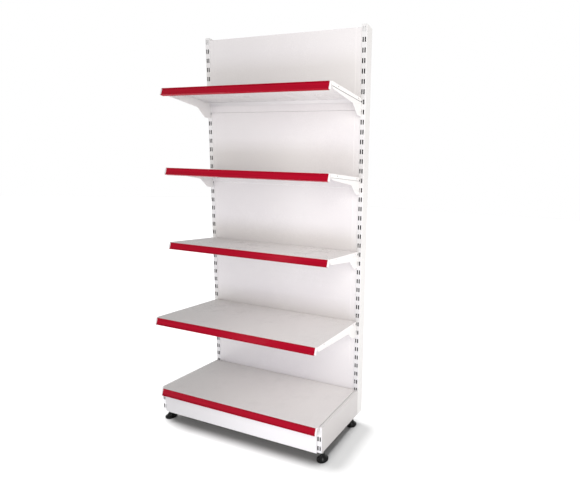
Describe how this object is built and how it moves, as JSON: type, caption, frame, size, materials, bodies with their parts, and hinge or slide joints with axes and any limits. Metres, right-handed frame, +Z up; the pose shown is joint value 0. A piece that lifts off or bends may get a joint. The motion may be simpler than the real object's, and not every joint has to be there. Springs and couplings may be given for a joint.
{
  "type": "gondola shelving unit",
  "caption": "Single-sided gondola shelving bay: slotted uprights, white back panels, shelves on hook-in brackets with red price strips, base deck, kick plate and levelling feet.",
  "frame": {"origin": "on the floor, under the middle of the bounding box", "axes": "+Z up, -Y towards the front where goods are taken, +X to the right of someone facing the front"},
  "size_m": [1.058, 0.4744, 2.173],
  "materials": {
    "upright_coating": "satin white powder coat",
    "panel_coating": "satin white powder coat",
    "rail_coating": "satin white powder coat",
    "shelf_coating": "satin white powder coat",
    "bracket_coating": "satin white powder coat",
    "leg_coating": "satin white powder coat",
    "kick_coating": "satin white powder coat",
    "price_strip_pvc": "glossy red extruded plastic",
    "cap_plastic": "matt white plastic",
    "foot_rubber": "black hard rubber",
    "zinc_steel": "bright zinc plate"
  },
  "bodies": {
    "frame": {"upright_left": "upright_coating", "upright_right": "upright_coating", "upright_cap_left": "cap_plastic", "upright_cap_right": "cap_plastic", "back_panel_1": "panel_coating", "back_panel_2": "panel_coating", "back_panel_3": "panel_coating", "back_panel_4": "panel_coating", "back_panel_5": "panel_coating", "cross_rail_top": "rail_coating", "cross_rail_bottom": "rail_coating", "base_leg_left": "leg_coating", "base_leg_right": "leg_coating", "foot_weld_nuts": "zinc_steel"},
    "brackets_1": {"bracket_left_1": "bracket_coating", "bracket_right_1": "bracket_coating"},
    "shelf_1": {"shelf_tray_1": "shelf_coating", "price_strip_1": "price_strip_pvc"},
    "brackets_2": {"bracket_left_2": "bracket_coating", "bracket_right_2": "bracket_coating"},
    "shelf_2": {"shelf_tray_2": "shelf_coating", "price_strip_2": "price_strip_pvc"},
    "brackets_3": {"bracket_left_3": "bracket_coating", "bracket_right_3": "bracket_coating"},
    "shelf_3": {"shelf_tray_3": "shelf_coating", "price_strip_3": "price_strip_pvc"},
    "brackets_4": {"bracket_left_4": "bracket_coating", "bracket_right_4": "bracket_coating"},
    "shelf_4": {"shelf_tray_4": "shelf_coating", "price_strip_4": "price_strip_pvc"},
    "base_deck": {"base_deck": "shelf_coating", "base_deck_stiffener": "shelf_coating", "base_price_strip": "price_strip_pvc"},
    "kick_plate": {"kick_plate": "kick_coating"},
    "foot_front_left": {"foot_pad_front_left": "foot_rubber", "foot_screw_front_left": "zinc_steel"},
    "foot_front_right": {"foot_pad_front_right": "foot_rubber", "foot_screw_front_right": "zinc_steel"},
    "foot_rear_left": {"foot_pad_rear_left": "foot_rubber", "foot_screw_rear_left": "zinc_steel"},
    "foot_rear_right": {"foot_pad_rear_right": "foot_rubber", "foot_screw_rear_right": "zinc_steel"}
  },
  "joints": [
    {"name": "bracket_unhook_1", "type": "slide", "parent": "frame", "child": "brackets_1", "axis": [0, 0, 1], "range_m": [0, 0.011]},
    {"name": "shelf_lift_1", "type": "slide", "parent": "brackets_1", "child": "shelf_1", "axis": [0, 0, 1], "range_m": [0, 0.1]},
    {"name": "bracket_unhook_2", "type": "slide", "parent": "frame", "child": "brackets_2", "axis": [0, 0, 1], "range_m": [0, 0.011]},
    {"name": "shelf_lift_2", "type": "slide", "parent": "brackets_2", "child": "shelf_2", "axis": [0, 0, 1], "range_m": [0, 0.1]},
    {"name": "bracket_unhook_3", "type": "slide", "parent": "frame", "child": "brackets_3", "axis": [0, 0, 1], "range_m": [0, 0.011]},
    {"name": "shelf_lift_3", "type": "slide", "parent": "brackets_3", "child": "shelf_3", "axis": [0, 0, 1], "range_m": [0, 0.1]},
    {"name": "bracket_unhook_4", "type": "slide", "parent": "frame", "child": "brackets_4", "axis": [0, 0, 1], "range_m": [0, 0.011]},
    {"name": "shelf_lift_4", "type": "slide", "parent": "brackets_4", "child": "shelf_4", "axis": [0, 0, 1], "range_m": [0, 0.1]},
    {"name": "base_deck_lift", "type": "slide", "parent": "frame", "child": "base_deck", "axis": [0, 0, 1], "range_m": [0, 0.1]},
    {"name": "kick_plate_unhook", "type": "slide", "parent": "frame", "child": "kick_plate", "axis": [0, 0, 1], "range_m": [0, 0.012]},
    {"name": "foot_adjust_front_left", "type": "slide", "parent": "frame", "child": "foot_front_left", "axis": [0, 0, -1], "range_m": [0, 0.02]},
    {"name": "foot_adjust_front_right", "type": "slide", "parent": "frame", "child": "foot_front_right", "axis": [0, 0, -1], "range_m": [0, 0.02]},
    {"name": "foot_adjust_rear_left", "type": "slide", "parent": "frame", "child": "foot_rear_left", "axis": [0, 0, -1], "range_m": [0, 0.02]},
    {"name": "foot_adjust_rear_right", "type": "slide", "parent": "frame", "child": "foot_rear_right", "axis": [0, 0, -1], "range_m": [0, 0.02]}
  ]
}
